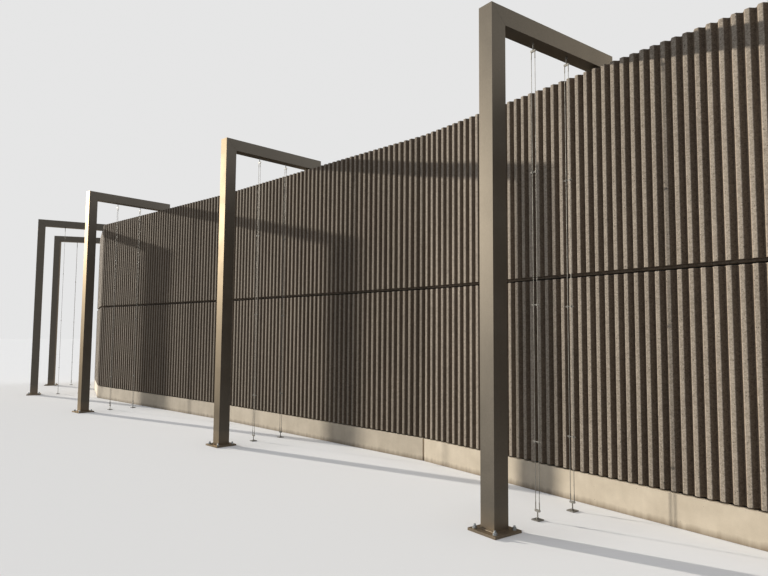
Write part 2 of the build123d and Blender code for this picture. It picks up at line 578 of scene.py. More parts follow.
def plan() -> tuple[list[Corner], list[Bay]]:
    """Lays out the wall with the foot of the origin column at the model's origin.

    Returns:
        The corners and the bays, from left to right.
    """
    layout = SIZES.left_bays + SIZES.right_bays
    xs, ys = [0.0], [0.0]
    for ribs, heading in layout:
        dx, dy = turned(ribs * SIZES.rib_pitch, 0, heading)
        xs.append(xs[-1] + dx)
        ys.append(ys[-1] + dy)
    headings = [heading for _, heading in layout]
    ends = list(zip(headings[:1] + headings, headings + headings[-1:]))
    k = len(SIZES.left_bays)
    mean, half = sum(ends[k]) / 2, (ends[k][1] - ends[k][0]) / 2
    foot_x, foot_y = turned(0, column_front(half) + SIZES.column_depth / 2, mean)
    corners = [
        Corner(i + 1, x - xs[k] - foot_x, y - ys[k] - foot_y, (a + b) / 2, (b - a) / 2)
        for i, (x, y, (a, b)) in enumerate(zip(xs, ys, ends))
    ]
    near_frames = len(layout) - SIZES.far_frames
    standoffs = [SIZES.far_standoff] * SIZES.far_frames + [SIZES.frame_standoff] * near_frames
    bays = [
        Bay(i + 1, corners[i], corners[i + 1], *layout[i], standoffs[i]) for i in range(len(layout))
    ]
    return corners, bays


# Finishes


def linear(colour: str) -> Colour:
    """The linear colour of an sRGB hex value such as #A0B0C0."""
    values = [int(colour[i : i + 2], 16) / 255 for i in (1, 3, 5)]
    return *(v / 12.92 if v <= 0.04045 else ((v + 0.055) / 1.055) ** 2.4 for v in values), 1.0


def per_metre(millimetres: float) -> float:
    """The scale at which a texture's features have a size in millimetres."""
    return 1000.0 / millimetres


def add_node(tree: Tree, kind: str, settings: dict | None = None) -> bpy.types.Node:
    """Adds one node with its settings and links.

    Args:
        tree: The node tree.
        kind: The node's type, without its ShaderNode.
        settings: Values by property or, where the key is no property, by input socket. A value
            that is another node's output is linked.

    Returns:
        The new node.
    """
    node = tree.nodes.new("ShaderNode" + kind)
    for key, value in (settings or {}).items():
        if isinstance(value, Socket):
            tree.links.new(value, node.inputs[key])
        elif isinstance(key, str) and hasattr(node, key):
            setattr(node, key, value)
        else:
            node.inputs[key].default_value = value
    return node


def cleared(owner: bpy.types.Material | bpy.types.World) -> Tree:
    """Switches on the nodes of a material or a world, and clears them.

    Args:
        owner: The material or the world.

    Returns:
        Its empty node tree.
    """
    owner.use_nodes = True
    owner.node_tree.nodes.clear()
    return owner.node_tree


def combine(tree: Tree, operation: str, *values: Value) -> Socket:
    """The result of a Math node on values or sockets, in the order of its inputs."""
    return add_node(tree, "Math", {"operation": operation, **dict(enumerate(values))}).outputs[0]


def spread(
    tree: Tree, value: Socket, low: float, high: float, start: float = 0.0, end: float = 1.0
) -> Socket:
    """A socket's range from low to high, mapped onto start to end and cut off there."""
    settings = {"Value": value, "From Min": low, "From Max": high, "To Min": start, "To Max": end}
    return add_node(tree, "MapRange", settings).outputs[0]


def mixed(tree: Tree, share: Socket, first: Value, second: Value, blend: str = "MIX") -> Socket:
    """Mixes two colours.

    Args:
        tree: The node tree.
        share: How much of the second colour there is.
        first: A socket, a linear colour or an sRGB hex value.
        second: The same.
        blend: How the second colour works on the first.

    Returns:
        The mixed colour.
    """
    first, second = (linear(c) if isinstance(c, str) else c for c in (first, second))
    settings = {"data_type": "RGBA", "blend_type": blend, 0: share, 6: first, 7: second}
    return add_node(tree, "Mix", settings).outputs[2]


def stretched(tree: Tree, where: Socket, times: float) -> Socket:
    """Coordinates in which a pattern is drawn some times as tall as it is wide."""
    return add_node(tree, "Mapping", {"Vector": where, "Scale": (1, 1, 1 / times)}).outputs[0]


def noise(
    tree: Tree, where: Socket, size_mm: float, detail: float, roughness: float = 0.5
) -> Socket:
    """Clouds of a size in millimetres."""
    settings = {"Vector": where, "Scale": per_metre(size_mm), "Detail": detail}
    return add_node(tree, "TexNoise", settings | {"Roughness": roughness}).outputs["Fac"]


def cells(tree: Tree, where: Socket, size_mm: float) -> tuple[Socket, Socket]:
    """Divides space into cells.

    Args:
        tree: The node tree.
        where: The coordinates.
        size_mm: The size of a cell, in millimetres.

    Returns:
        Each cell's own value, and the distance from its middle.
    """
    texture = add_node(tree, "TexVoronoi", {"Vector": where, "Scale": per_metre(size_mm)})
    value = add_node(tree, "SeparateColor", {"Color": texture.outputs["Color"]}).outputs[0]
    return value, texture.outputs["Distance"]


def pits(
    tree: Tree, where: Socket, size_mm: float, sound: float, widest: float, rim: tuple[float, float]
) -> Socket:
    """Scatters round pits, one in a cell at most.

    Args:
        tree: The node tree.
        where: The coordinates.
        size_mm: The size of the cells.
        sound: The share of the cells that have no pit.
        widest: The radius of the widest pit, as a share of a cell.
        rim: Where the rim starts outside the radius, and ends inside it.

    Returns:
        1 inside a pit, and 0 outside.
    """
    chance, distance = cells(tree, where, size_mm)
    radius = spread(tree, chance, sound, 1, 0, widest)
    return spread(tree, combine(tree, "SUBTRACT", radius, distance), *rim)


def settled(tree: Tree, where: Socket, ragged: Socket, height: float, most: float) -> Socket:
    """How much dirt lies on the lowest stretch.

    Args:
        tree: The node tree.
        where: The coordinates.
        ragged: The clouds that make its upper edge ragged.
        height: About how high it reaches, in metres.
        most: How much there is at the ground.

    Returns:
        The share of dirt.
    """
    level = add_node(tree, "SeparateXYZ", {"Vector": where}).outputs["Z"]
    edge = combine(tree, "MULTIPLY_ADD", ragged, -height, level)
    return spread(tree, edge, -height / 2, height / 2, most, 0)


def bump(tree: Tree, height: Socket, strength: float, distance: float) -> Socket:
    """The normal of a relief whose full height is a distance in metres."""
    settings = {"Height": height, "Strength": strength, "Distance": distance}
    return add_node(tree, "Bump", settings).outputs[0]


def noted(tree: Tree, name: str) -> Socket:
    """The value that the mesh carries under a name."""
    return add_node(tree, "Attribute", {"attribute_name": name}).outputs["Fac"]


@dataclass(frozen=True)
class Finish:
    """What every finish has: a name and the settings that don't vary over the surface.

    Attributes:
        name: The material's name.
        roughness: The roughness of the sound surface.
        metallic: 1 for bare metal.
        specular: The specular level.
    """

    name: str
    roughness: float
    metallic: float
    specular: float

    def paint(self, tree: Tree, where: Socket) -> dict[str, Value]:
        """Adds the nodes that vary over the surface, and says what goes into the shader."""
        raise NotImplementedError

    def build(self) -> bpy.types.Material:
        """Makes the material.

        Returns:
            The material.
        """
        material = bpy.data.materials.new(self.name)
        tree = cleared(material)
        settings = {
            "Roughness": self.roughness,
            "Metallic": self.metallic,
            "Specular IOR Level": self.specular,
            **self.paint(tree, add_node(tree, "TexCoord").outputs["Object"]),
        }
        shader = add_node(tree, "BsdfPrincipled", settings)
        add_node(tree, "OutputMaterial", {"Surface": shader.outputs[0]})
        return material


@dataclass(frozen=True)
class PorousConcrete(Finish):
    """Lightweight concrete of coarse grains, cast against a ribbed liner and left open.

    The grains catch the light one by one, some have broken out and left pores whose insides are
    painted dark as shade, and the flutes are painted darker than the rib fronts: partly dust and
    damp, partly painted shade.

    Attributes:
        light: Dry cement skin on the grains.
        dark: Damp or leaner patches.
        pore: Painted shade inside a pore.
        flute_shade_and_dirt: What the colour is multiplied by at the bottom of a flute: painted
            shade in the
        flute, with some dust and damp.
        mix: What the colour is multiplied by in the most darkened bay.
    """

    name: str = "porous_lightweight_concrete"
    roughness: float = 0.9
    metallic: float = 0.0
    specular: float = 0.3
    light: str = "#C4B7A7"
    dark: str = "#958A7D"
    pore: str = "#2B2621"
    flute_shade_and_dirt: str = "#BAB1A8"
    mix: str = "#D8D6D2"
    grain_mm: float = 10.0
    pore_mm: float = 17.0
    patch_mm: float = 420.0
    relief: float = 0.0022

    def paint(self, tree: Tree, where: Socket) -> dict[str, Value]:
        """Adds grains, pores with painted shade inside, streaky patches, flutes painted dark as
        shade and dust, and each bay's darkening.

        Args:
            tree: The material's node tree.
            where: The object's own coordinates.

        Returns:
            What goes into the shader, by input socket.
        """
        speckle, off_grain = cells(tree, where, self.grain_mm)
        streaky = stretched(tree, where, times=4)
        patches = noise(tree, streaky, self.patch_mm, detail=4, roughness=0.62)
        # Pores dent the relief, and their insides are painted dark as shade.
        pore = pits(tree, where, self.pore_mm, sound=0.35, widest=0.24, rim=(-0.02, 0.05))
        tone = combine(tree, "MULTIPLY_ADD", speckle, 0.75, patches)
        skin = mixed(tree, spread(tree, tone, low=0.45, high=1.25), self.light, self.dark)
        # Painted shade, with some dust: the flutes turn dark over their first millimetres, so the
        # pale fronts end at their edges.
        depth = spread(tree, noted(tree, "flute_depth"), low=0.02, high=0.14)
        dull = mixed(tree, depth, skin, self.flute_shade_and_dirt, "MULTIPLY")
        toned = mixed(tree, noted(tree, "cast_tone"), dull, self.mix, "MULTIPLY")
        domes = combine(tree, "MULTIPLY_ADD", off_grain, -0.6, 1.0)
        height = combine(tree, "SUBTRACT", domes, pore)
        return {
            "Base Color": mixed(tree, pore, toned, self.pore),
            "Normal": bump(tree, height, strength=0.8, distance=self.relief),
        }


@dataclass(frozen=True, kw_only=True)
class CastConcrete(Finish):
    """Dense concrete: cast smooth against steel, or levelled by hand on the open side.

    Clouds of lighter and darker cement, small blow holes painted dark inside as shade, water marks
    that run down, and soil splashed up from the ground.

    Attributes:
        light: The paler cement clouds.
        dark: The darker clouds.
        soil_height: How high the splashes reach, in metres, or 0 for none.
        trowel: How deep hand levelling leaves its marks, in metres.
        streaks: How much the water marks count beside the clouds.
        soil: What splashes up at the foot.
        hole: Painted shade inside a blow hole.
        sandiness: How much the sand counts beside the clouds.
        contrast: How far from the middle tone the palest and the darkest lie.
    """

    name: str
    light: str
    dark: str
    soil_height: float
    trowel: float
    streaks: float
    roughness: float = 0.74
    metallic: float = 0.0
    specular: float = 0.35
    soil: str = "#7A6750"
    hole: str = "#5C554C"
    sandiness: float = 0.22
    contrast: float = 0.23
    cloud_mm: float = 260.0
    mark_mm: float = 55.0
    sand_mm: float = 6.0
    wave_mm: float = 90.0
    hole_mm: float = 38.0

    def paint(self, tree: Tree, where: Socket) -> dict[str, Value]:
        """Adds clouds, water marks, sand, blow holes with painted shade, soil and the surface's
        relief.

        Args:
            tree: The material's node tree.
            where: The object's own coordinates.

        Returns:
            What goes into the shader, by input socket.
        """
        clouds = noise(tree, where, self.cloud_mm, detail=5, roughness=0.6)
        marks = noise(tree, stretched(tree, where, times=12.5), self.mark_mm, detail=3)
        sand = noise(tree, where, self.sand_mm, detail=2)
        cloudy = combine(tree, "MULTIPLY_ADD", marks, self.streaks, clouds)
        grained = combine(tree, "MULTIPLY_ADD", sand, self.sandiness, cloudy)
        # Clouds, marks and sand all lie about a half.
        middle = (1 + self.sandiness + self.streaks) / 2
        share = spread(tree, grained, middle - self.contrast, middle + self.contrast)
        # Blow holes dent the relief, and their insides are painted dark as shade.
        pit = pits(tree, where, self.hole_mm, sound=0.6, widest=0.075, rim=(-0.01, 0.02))
        colour = mixed(tree, pit, mixed(tree, share, self.light, self.dark), self.hole)
        if self.soil_height:
            splash = settled(tree, where, marks, self.soil_height, most=0.75)
            colour = mixed(tree, splash, colour, self.soil)
        relief = combine(tree, "MULTIPLY", noise(tree, where, self.wave_mm, detail=2), sand)
        height = combine(tree, "SUBTRACT", relief, pit)
        normal = bump(tree, height, strength=0.7, distance=self.trowel)
        return {"Base Color": colour, "Normal": normal}


@dataclass(frozen=True)
class CoatedSteel(Finish):
    """Steel with a fine-textured powder coat that holds mica flakes.

    Dark and satin, with a faint orange peel. The flakes mirror more and warmer light at a shallow
    angle, so the sides that face the sun turn pale, and dust settles on the lowest stretch.

    Attributes:
        tint: The colour of what the flakes mirror at a shallow angle.
        base: The coat between the flakes.
        flake: The flakes.
        dust: What settles near the ground.
        dust_height: About how high the dust reaches, in metres.
        sway: How far the roughness strays from its middle.
        peel_depth: How deep the orange peel is, in metres.
    """

    name: str = "mica_powder_coat"
    roughness: float = 0.5
    metallic: float = 0.85
    specular: float = 0.2
    tint: str = "#FFEDD4"
    base: str = "#54504A"
    flake: str = "#6A655D"
    dust: str = "#8B7C68"
    dust_height: float = 0.22
    sway: float = 0.05
    peel_depth: float = 0.0003
    # The flakes are a tenth of a millimetre; they are drawn 3 mm wide, so that they show.
    flake_mm: float = 3.0
    cloud_mm: float = 300.0
    peel_mm: float = 2.5

    def paint(self, tree: Tree, where: Socket) -> dict[str, Value]:
        """Adds flakes, clouds, dust and orange peel.

        Args:
            tree: The material's node tree.
            where: The object's own coordinates.

        Returns:
            What goes into the shader, by input socket.
        """
        sparkle, _ = cells(tree, where, self.flake_mm)
        clouds = noise(tree, where, self.cloud_mm, detail=3)
        coat = mixed(tree, combine(tree, "MULTIPLY", sparkle, clouds), self.base, self.flake)
        dusty = settled(tree, where, clouds, self.dust_height, most=0.5)
        peel = noise(tree, where, self.peel_mm, detail=2)
        low, high = self.roughness - self.sway, self.roughness + self.sway
        return {
            "Base Color": mixed(tree, dusty, coat, self.dust),
            "Roughness": spread(tree, clouds, 0.3, 0.7, low, high),
            "Specular Tint": linear(self.tint),
            "Normal": bump(tree, peel, strength=0.25, distance=self.peel_depth),
        }


@dataclass(frozen=True, kw_only=True)
class BareMetal(Finish):
    """Bare metal with a crystal or drawn pattern.

    Hot-dip zinc freezes in flat spangles of slightly different greys. Drawn stainless steel has
    fine marks along its length instead, so its cells are small and tall.

    Attributes:
        light: The brightest crystals.
        dark: The dullest crystals.
        cell_mm: The size of one crystal.
        stretch: How much taller than wide the cells are drawn.
        bloom: How many crystals wide one cloud of them is.
        smoother: How much less rough than the middle the brightest crystals are.
        rougher: How much rougher than it the dullest ones are.
    """

    name: str
    light: str
    dark: str
    cell_mm: float
    stretch: float
    roughness: float
    metallic: float = 1.0
    specular: float = 0.5
    bloom: float = 14.0
    smoother: float = 0.07
    rougher: float = 0.1

    def paint(self, tree: Tree, where: Socket) -> dict[str, Value]:
        """Adds crystals and clouds of them, the darker ones rougher.

        Args:
            tree: The material's node tree.
            where: The object's own coordinates.

        Returns:
            What goes into the shader, by input socket.
        """
        drawn = stretched(tree, where, self.stretch)
        shade, _ = cells(tree, drawn, self.cell_mm)
        clouds = noise(tree, drawn, self.cell_mm * self.bloom, detail=4)
        share = spread(tree, combine(tree, "MULTIPLY_ADD", shade, 0.4, clouds), 0.4, 1.0)
        low, high = self.roughness - self.smoother, self.roughness + self.rougher
        return {
            "Base Color": mixed(tree, share, self.light, self.dark),
            "Roughness": spread(tree, share, 0.0, 1.0, low, high),
        }


@dataclass(frozen=True)
class SealRubber(Finish):
    """Black extruded rubber with a dull, slightly chalky skin."""

    name: str = "epdm_rubber"
    roughness: float = 0.72
    metallic: float = 0.0
    specular: float = 0.35
    skin: str = "#1E1D1C"
    chalk: str = "#35332F"
    bloom_mm: float = 40.0

    def paint(self, tree: Tree, where: Socket) -> dict[str, Value]:
        """Adds clouds of chalk."""
        bloom = noise(tree, where, self.bloom_mm, detail=4)
        return {"Base Color": mixed(tree, bloom, self.skin, self.chalk)}


@dataclass(frozen=True)
class Finishes:
    """Every finish on the barrier, built once."""

    absorber: bpy.types.Material
    plinth: bpy.types.Material
    slab: bpy.types.Material
    coated: bpy.types.Material
    galvanised: bpy.types.Material
    stainless: bpy.types.Material
    rubber: bpy.types.Material

    @classmethod
    def build(cls) -> "Finishes":
        """Makes the materials.

        Returns:
            The finishes.
        """
        plinth = CastConcrete(
            name="smooth_precast_concrete", light="#E2D4BE", dark="#CBBDA7",
            soil_height=0.06, trowel=0.0008, streaks=0.2,
        )
        slab = CastConcrete(
            name="levelled_concrete", light="#B1AEA6", dark="#8F8C84",
            soil_height=0.0, trowel=0.0022, streaks=0.45,
        )
        galvanised = BareMetal(
            name="galvanised_steel", light="#B7BBBD", dark="#8E9395",
            cell_mm=14, stretch=1, roughness=0.42,
        )
        stainless = BareMetal(
            name="drawn_stainless_steel", light="#8C8983", dark="#6B6963",
            cell_mm=1.5, stretch=6, roughness=0.56,
        )
        absorber, coated, rubber = PorousConcrete(), CoatedSteel(), SealRubber()
        finishes = absorber, plinth, slab, coated, galvanised, stainless, rubber
        return cls(*(finish.build() for finish in finishes))


# The wall


def mitre_ends(bay: Bay) -> None:
    """Cuts the mesh in edit mode off at both of a bay's panel joints, and closes the cuts.

    Args:
        bay: The bay, in whose coordinates the mesh is.
    """
    for end in End:
        point, normal = bay.mitre(end, SIZES.bay_joint)
        bpy.ops.mesh.select_all(action="SELECT")
        bpy.ops.mesh.bisect(plane_co=point, plane_no=normal, use_fill=True, clear_outer=True)


def mitred_strip(
    bay: Bay, front: float, back: float, bottom: float, top: float, bulge: float, name: str
) -> Piece:
    """Models a level strip along a bay, mitred like the panels, with its front edges rounded.

    Args:
        bay: The bay.
        front: Where its front lies behind the rib fronts.
        back: Where its back lies.
        bottom: Its bottom.
        top: Its top.
        bulge: How far the front edges are rounded.
        name: Its name.

    Returns:
        The strip, in place.
    """
    past = 0.05
    piece = box(name, (-past, front, bottom), (bay.length + past, back, top))
    with editing(piece):
        pick(piece, Pick.EDGE, lambda p: p.y < front + TOUCH and past < p.x < bay.length)
        round_picked(bulge, segments=3)
        mitre_ends(bay)
    place(piece, bay.place)
    return piece


@dataclass
class RibbedAbsorber:
    """The ribbed layer of one row: rounded ribs cast on a flat base, and mitred at the bends.

    Attributes:
        edge_round: The radius of the ribs' long edges.
        arris: The chamfer round the top and bottom edges.
        ring: About how tall one ring of faces is.
        unevenness: How far the cast surface strays from true.
        swell: The size of its swellings.
        edge_setback: How far behind the rib fronts the plain edge below the upper ribs lies.
        edge_shade_and_dirt: How much of the flutes' darkening, painted shade with some dust, the
            recessed
        edge gets, on the scale of the flutes' depth.
        upper_pallor: How much less the upper row is darkened than the lower row.
    """

    finishes: Finishes
    bottom: float
    top: float
    row: Row
    edge_round: float = 0.0035
    arris: float = 0.004
    ring: float = 0.080
    unevenness: float = 0.0024
    swell: float = 0.11
    edge_setback: float = 0.055
    edge_shade_and_dirt: float = 0.1
    upper_pallor: float = 0.05

    def rib(self) -> Piece:
        """Models one rib with its share of the base, open at both sides.

        Returns:
            The rib, between the middles of two flutes.
        """
        pitch, depth = SIZES.rib_pitch, SIZES.rib_depth
        foot = SIZES.valley / 2
        low, high = (0, depth, self.bottom), (pitch, SIZES.absorber_depth, self.top)
        piece = box("rib_pattern", low, high)
        middle = Vector((pitch / 2, depth, (self.bottom + self.top) / 2))
        with editing(piece):
            for x in (foot, pitch - foot):
                bpy.ops.mesh.select_all(action="SELECT")
                bpy.ops.mesh.bisect(plane_co=(x, 0, 0), plane_no=(1, 0, 0))
            pick(piece, Pick.FACE, lambda p: (p - middle).length < TOUCH)
            bpy.ops.mesh.extrude_region_move(TRANSFORM_OT_translate={"value": (0, -depth, 0)})
            share = SIZES.rib_front / (pitch - SIZES.valley)
            bpy.ops.transform.resize(value=(share, 1, 1), center_override=(pitch / 2, 0, 0))
            pick(piece, Pick.FACE, lambda p: min(p.x, pitch - p.x) < TOUCH)
            bpy.ops.mesh.delete(type="ONLY_FACE")
            pick(piece, Pick.EDGE, lambda p: p.y < TOUCH and abs(p.z - middle.z) < TOUCH)
            round_picked(self.edge_round, segments=2)
            for level in (self.bottom, self.top):
                pick(
                    piece, Pick.EDGE,
                    lambda p, z=level: abs(p.z - z) < TOUCH and p.y < depth + TOUCH, both=True,
                )
                round_picked(self.arris, segments=2)
            rings = ceil((self.top - self.bottom) / self.ring)
            pick(
                piece, Pick.EDGE, lambda p: abs(p.z - middle.z) < TOUCH and p.y < depth + TOUCH
            )
            bpy.ops.mesh.subdivide(number_cuts=rings - 1)
        depths = [max(0.0, min(1.0, v.co.y / depth)) for v in piece.data.vertices]
        note(piece, "flute_depth", depths)
        front = piece.vertex_groups.new(name="front")
        front.add([v.index for v in piece.data.vertices if v.co.y < depth + TOUCH], 1.0, "ADD")
        return piece

    def panel(self, pattern: Piece, bay: Bay) -> Piece:
        """Repeats the rib along a bay and mitres both ends.

        Args:
            pattern: The rib.
            bay: The bay.

        Returns:
            The panel, in the bay's coordinates.
        """
        name = f"ribbed_absorber_{self.row.value}_{bay.number}"
        piece = copy_at(pattern, name, Matrix.Identity(4))
        piece.vertex_groups.new(name="front")
        shape_by(
            piece, "ARRAY", count=bay.ribs, use_relative_offset=False, use_constant_offset=True,
            constant_offset_displace=(SIZES.rib_pitch, 0, 0), use_merge_vertices=True,
            merge_threshold=0.0004,
        )
        past = SIZES.rib_depth
        with editing(piece):
            for end in End:
                x = bay.length if end is End.RIGHT else 0.0
                pick(piece, Pick.EDGE, lambda p, x=x: abs(p.x - x) < 2 * TOUCH, both=True)
                bpy.ops.mesh.extrude_region_move(
                    TRANSFORM_OT_translate={"value": (end.value * past, 0, 0)}
                )
            mitre_ends(bay)
            face_outwards()
        return piece

    def dress_toned(self, piece: Piece, bay: Bay, *nodes: str) -> None:
        """Notes on a piece how far this panel is darkened, and dresses it.

        Args:
            piece: The finished piece.
            bay: Its bay.
            *nodes: The nodes that it stands for.
        """
        tone = SIZES.bay_darkenings[bay.number - 1]
        if self.row is Row.UPPER:
            tone -= self.upper_pallor
        note(piece, "cast_tone", [tone] * len(piece.data.vertices))
        dress(piece, self.finishes.absorber, Slot.ABSORBER, *nodes)

    def plain_edge(self, bay: Bay) -> None:
        """Models the plain edge below the upper ribs, behind the flutes' bottoms.

        Args:
            bay: The bay.
        """
        low = self.bottom - SIZES.row_joint + SIZES.row_gap
        piece = mitred_strip(
            bay, self.edge_setback, SIZES.absorber_depth, low, self.bottom, self.arris,
            f"panel_edge_{bay.number}",
        )
        smooth(piece, angle=40)
        # The recessed edge gets part of the flutes' painted shade and dust.
        note(piece, "flute_depth", [self.edge_shade_and_dirt] * len(piece.data.vertices))
        self.dress_toned(piece, bay)

    def build(self, bays: list[Bay]) -> None:
        """Models this row's layer in every bay.

        Args:
            bays: The bays.
        """
        swell = bpy.data.textures.new(f"casting_swell_{self.row.value}", "CLOUDS")
        swell.noise_scale = self.swell
        swell.noise_depth = 2
        pattern = self.rib()
        for bay in bays:
            piece = self.panel(pattern, bay)
            place(piece, bay.place)
            shape_by(
                piece, "DISPLACE", texture=swell, strength=self.unevenness, mid_level=0.5,
                texture_coords="LOCAL", vertex_group="front",
            )
            smooth(piece, angle=40)
            keep_flats(piece)
            self.dress_toned(piece, bay, f"absorber_{self.row.value}_{bay.number}")
            if self.row is Row.UPPER:
                self.plain_edge(bay)
        discard(pattern)


@dataclass
class PrecastBodies:
    """The plinths and the slabs behind the ribs, with the small chamfers their moulds leave."""

    finishes: Finishes
    plinth_arris: float = 0.006
    slab_arris: float = 0.004

    def build(self, bays: list[Bay]) -> None:
        """Dresses the plinth and both slabs of every bay.

        Args:
            bays: The bays.
        """
        for bay in bays:
            plinth = f"plinth_{bay.number}"
            stand_in(plinth, "precast", self.finishes.plinth, Slot.PLINTH, self.plinth_arris)
            for row in Row:
                slab = f"slab_{row.value}_{bay.number}"
                stand_in(slab, "precast", self.finishes.slab, Slot.SLAB, self.slab_arris)


@dataclass
class Columns:
    """The rolled H columns, with the rounded toes that rolling leaves."""

    finishes: Finishes
    toe_round: float = 0.0012

    def build(self, corners: list[Corner]) -> None:
        """Dresses the column at every corner.

        Args:
            corners: The corners.
        """
        finish = self.finishes.galvanised
        for corner in corners:
            column = f"column_{corner.number}"
            stand_in(column, "rolled", finish, Slot.GALVANISED, self.toe_round, segments=1)


@dataclass
class Seals:
    """The rubber strips in the wall's joints and behind the slab ends.

    Attributes:
        setback: How far behind the rib fronts the strips in the joints lie.
        gap_setback: How far behind them the strip between the two rows lies.
        plinth_setback: How far behind them the strips between the plinths lie.
        depth: How deep the strips in the joints are.
        bulge: How far the front of the strip on the plinth is rounded.
        gap_bulge: How far the front of the strip between the rows is rounded.
        squeeze: How much wider than the joints the strips between the bays are.
        plinth_width: The width of the strips between the plinths.
        wedge_width: The width of the wedges behind the slab ends.
        wedge_inset: How far inside the slab ends' tips the wedges' middles lie.
        wedge_drop: How far below the wall's top the wedges end.
        joint_drop: How far below the wall's top the strips between the bays end.
    """

    finishes: Finishes
    setback: float = 0.062
    gap_setback: float = 0.084
    plinth_setback: float = 0.050
    depth: float = 0.030
    bulge: float = 0.004
    gap_bulge: float = 0.002
    squeeze: float = 0.001
    plinth_width: float = 0.021
    wedge_width: float = 0.024
    wedge_inset: float = 0.022
    wedge_drop: float = 0.006
    joint_drop: float = 0.004

    def upright_strip(
        self, corner: Corner, x: float, y: float, width: float, depth: float, low: float,
        high: float,
    ) -> Piece:
        """Models an upright strip beside a column, in the corner's coordinates.

        Args:
            corner: The corner.
            x: The middle of the strip across the flanges.
            y: The strip's front.
            width: The strip's width across the flanges.
            depth: The strip's depth.
            low: The strip's bottom.
            high: The strip's top.

        Returns:
            The strip, in place.
        """
        piece = box("strip", (x - width / 2, y, low), (x + width / 2, y + depth, high))
        with editing(piece):
            pick(piece, Pick.EDGE, lambda p: abs(p.z - (low + high) / 2) < TOUCH)
            round_picked(min(width, depth) / 4, segments=3)
        place(piece, corner.place)
        return piece

    def level_strips(self, bay: Bay) -> list[Piece]:
        """Models a bay's strips on the plinth and between the two rows.

        Args:
            bay: The bay.

        Returns:
            The strips, in place.
        """
        foot, back = SIZES.plinth_top, self.setback + self.depth
        row = SIZES.lower_top - SIZES.row_joint / 2
        return [
            mitred_strip(
                bay, self.setback, back, foot, foot + SIZES.foot_joint, self.bulge, "strip"
            ),
            mitred_strip(
                bay, self.gap_setback, SIZES.absorber_depth, row, row + SIZES.row_gap,
                self.gap_bulge, "strip",
            ),
        ]

    def upright_strips(self, corner: Corner, first: bool, last: bool) -> list[Piece]:
        """Models the wedges beside a column and the strips between the bays in front of it.

        Args:
            corner: The corner.
            first: Whether it is the wall's left end, with no bay on its left.
            last: Whether it is the wall's right end.

        Returns:
            The strips, in place.
        """
        back = column_front(corner.half_bend) + SIZES.column_depth
        inner = back - SIZES.flange - SIZES.wedge_gap
        reach = SIZES.web / 2 + SIZES.web_clearance + self.wedge_inset
        top, foot = SIZES.wall_top, SIZES.plinth_top
        sides = [side for side, ends in ((-1, first), (1, last)) if not ends]
        wedge = (self.wedge_width, SIZES.wedge_gap, 0.0, top - self.wedge_drop)
        strips = [self.upright_strip(corner, side * reach, inner, *wedge) for side in sides]
        if not (first or last):
            width = SIZES.bay_joint + self.squeeze
            joint = (self.setback, width, self.depth, foot, top - self.joint_drop)
            plinth = (self.plinth_setback, self.plinth_width, self.depth, 0.0, foot)
            strips += [self.upright_strip(corner, 0, *sizes) for sizes in (joint, plinth)]
        return strips

    def build(self, corners: list[Corner], bays: list[Bay]) -> None:
        """Models every strip.

        Args:
            corners: The corners.
            bays: The bays.
        """
        seals = {f"level_seals_{bay.number}": self.level_strips(bay) for bay in bays}
        for corner in corners:
            first, last = corner is corners[0], corner is corners[-1]
            strips = self.upright_strips(corner, first, last)
            seals[f"upright_seals_{corner.number}"] = strips
        for name, strips in seals.items():
            piece = joined(strips, name)
            smooth(piece, angle=40)
            dress(piece, self.finishes.rubber, Slot.ABSORBER)


# The climbing frames


@dataclass
class WeldBead:
    """A fillet weld with the ripples of its passes.

    Attributes:
        size: The bead's radius.
        ripple: The distance from one ripple to the next.
    """

    size: float = 0.006
    ripple: float = 0.010

    def build(self, length: float, name: str) -> Piece:
        """Models a bead along x, centred on the origin.

        Args:
            length: The bead's length.
            name: The bead's name.

        Returns:
            The bead.
        """
        piece = ringed_rod(
            name, self.size, -length / 2, length / 2, sides=10, pitch=self.ripple, waist=0.82
        )
        smooth(piece, angle=60)
        place(piece, Matrix.Rotation(pi / 2, 4, "Y"))
        return piece

    def ring(self, width: float, depth: float, level: float) -> list[Piece]:
        """Models the four beads round a hollow section that is centred over the origin.

        Args:
            width: The section's width along x.
            depth: The section's depth along y.
            level: The height where the beads lie.

        Returns:
            The beads, round the section.
        """
        along = self.build(width + self.size, "bead_x")
        across = self.build(depth + self.size, "bead_y")
        place(across, Matrix.Rotation(pi / 2, 4, "Z"))
        beads = []
        for side in (-1, 1):
            beads.append(copy_at(along, "bead", shift(0, side * depth / 2, level)))
            beads.append(copy_at(across, "bead", shift(side * width / 2, 0, level)))
        discard(along)
        discard(across)
        return beads


def thread(name: str, diameter: float, pitch: float, bottom: float, top: float) -> Piece:
    """Models an upright threaded rod, with one ring of faces for each crest and root.

    Args:
        name: The rod's name.
        diameter: The thread's outer diameter.
        pitch: The distance from one crest to the next.
        bottom: The height of its lower end.
        top: The height of its upper end.

    Returns:
        The rod.
    """
    piece = ringed_rod(name, diameter / 2, bottom, top, sides=16, pitch=pitch, waist=0.87)
    smooth(piece, angle=30)
    return piece


